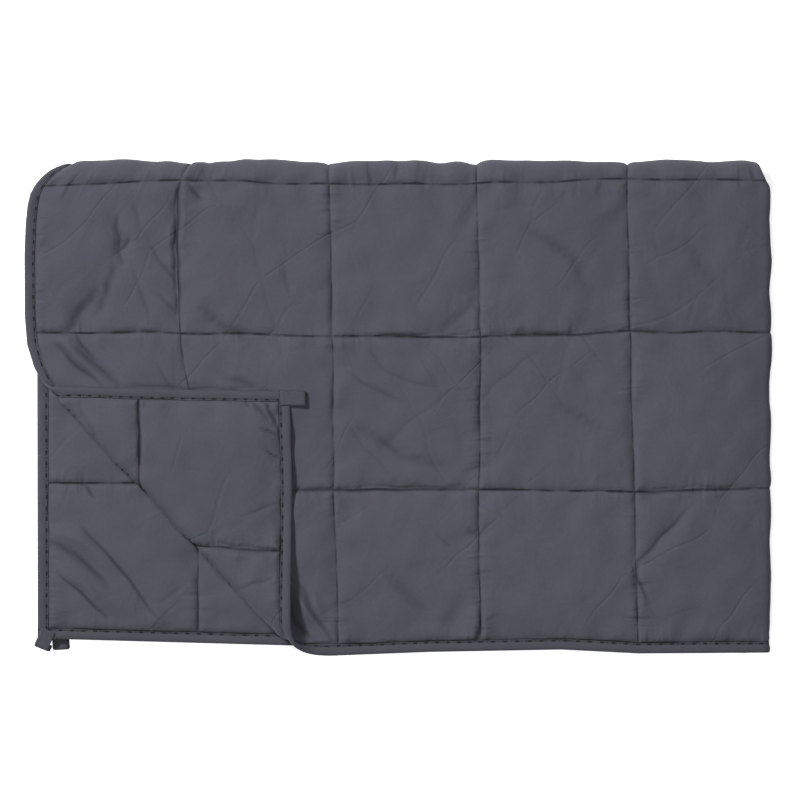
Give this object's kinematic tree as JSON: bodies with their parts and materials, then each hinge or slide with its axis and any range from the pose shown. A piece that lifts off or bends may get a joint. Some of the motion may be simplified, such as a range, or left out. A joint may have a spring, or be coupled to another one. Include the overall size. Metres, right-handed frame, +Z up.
{
  "type": "weighted blanket",
  "caption": "Quilted weighted blanket with bound edges and corner tape loops, folded in quarters with one corner of the top layer turned back.",
  "frame": {"origin": "on the floor, under the middle of the folded outline", "axes": "+X along the folded blanket's long side, towards its folded side edge; +Y towards its folded top edge; +Z up"},
  "size_m": [0.9697, 0.6424, 0.0721],
  "materials": {
    "quilt_cloth": "charcoal blue-grey brushed plain-weave microfibre, soft and nearly matt",
    "binding_cloth": "the same cloth cut as a folded strip and stitched down",
    "loop_tape": "ribbed grosgrain tape, slightly darker"
  },
  "bodies": {
    "root": {"quilted_panel": "quilt_cloth", "binding_long_side_turned": "binding_cloth", "binding_long_side_under": "binding_cloth", "binding_short_side_outer": "binding_cloth", "binding_short_side_inner": "binding_cloth", "tape_loop_turned_corner": "loop_tape", "tape_loop_second_layer": "loop_tape", "tape_loop_third_layer": "loop_tape", "tape_loop_bottom_layer": "loop_tape"}
  },
  "joints": []
}
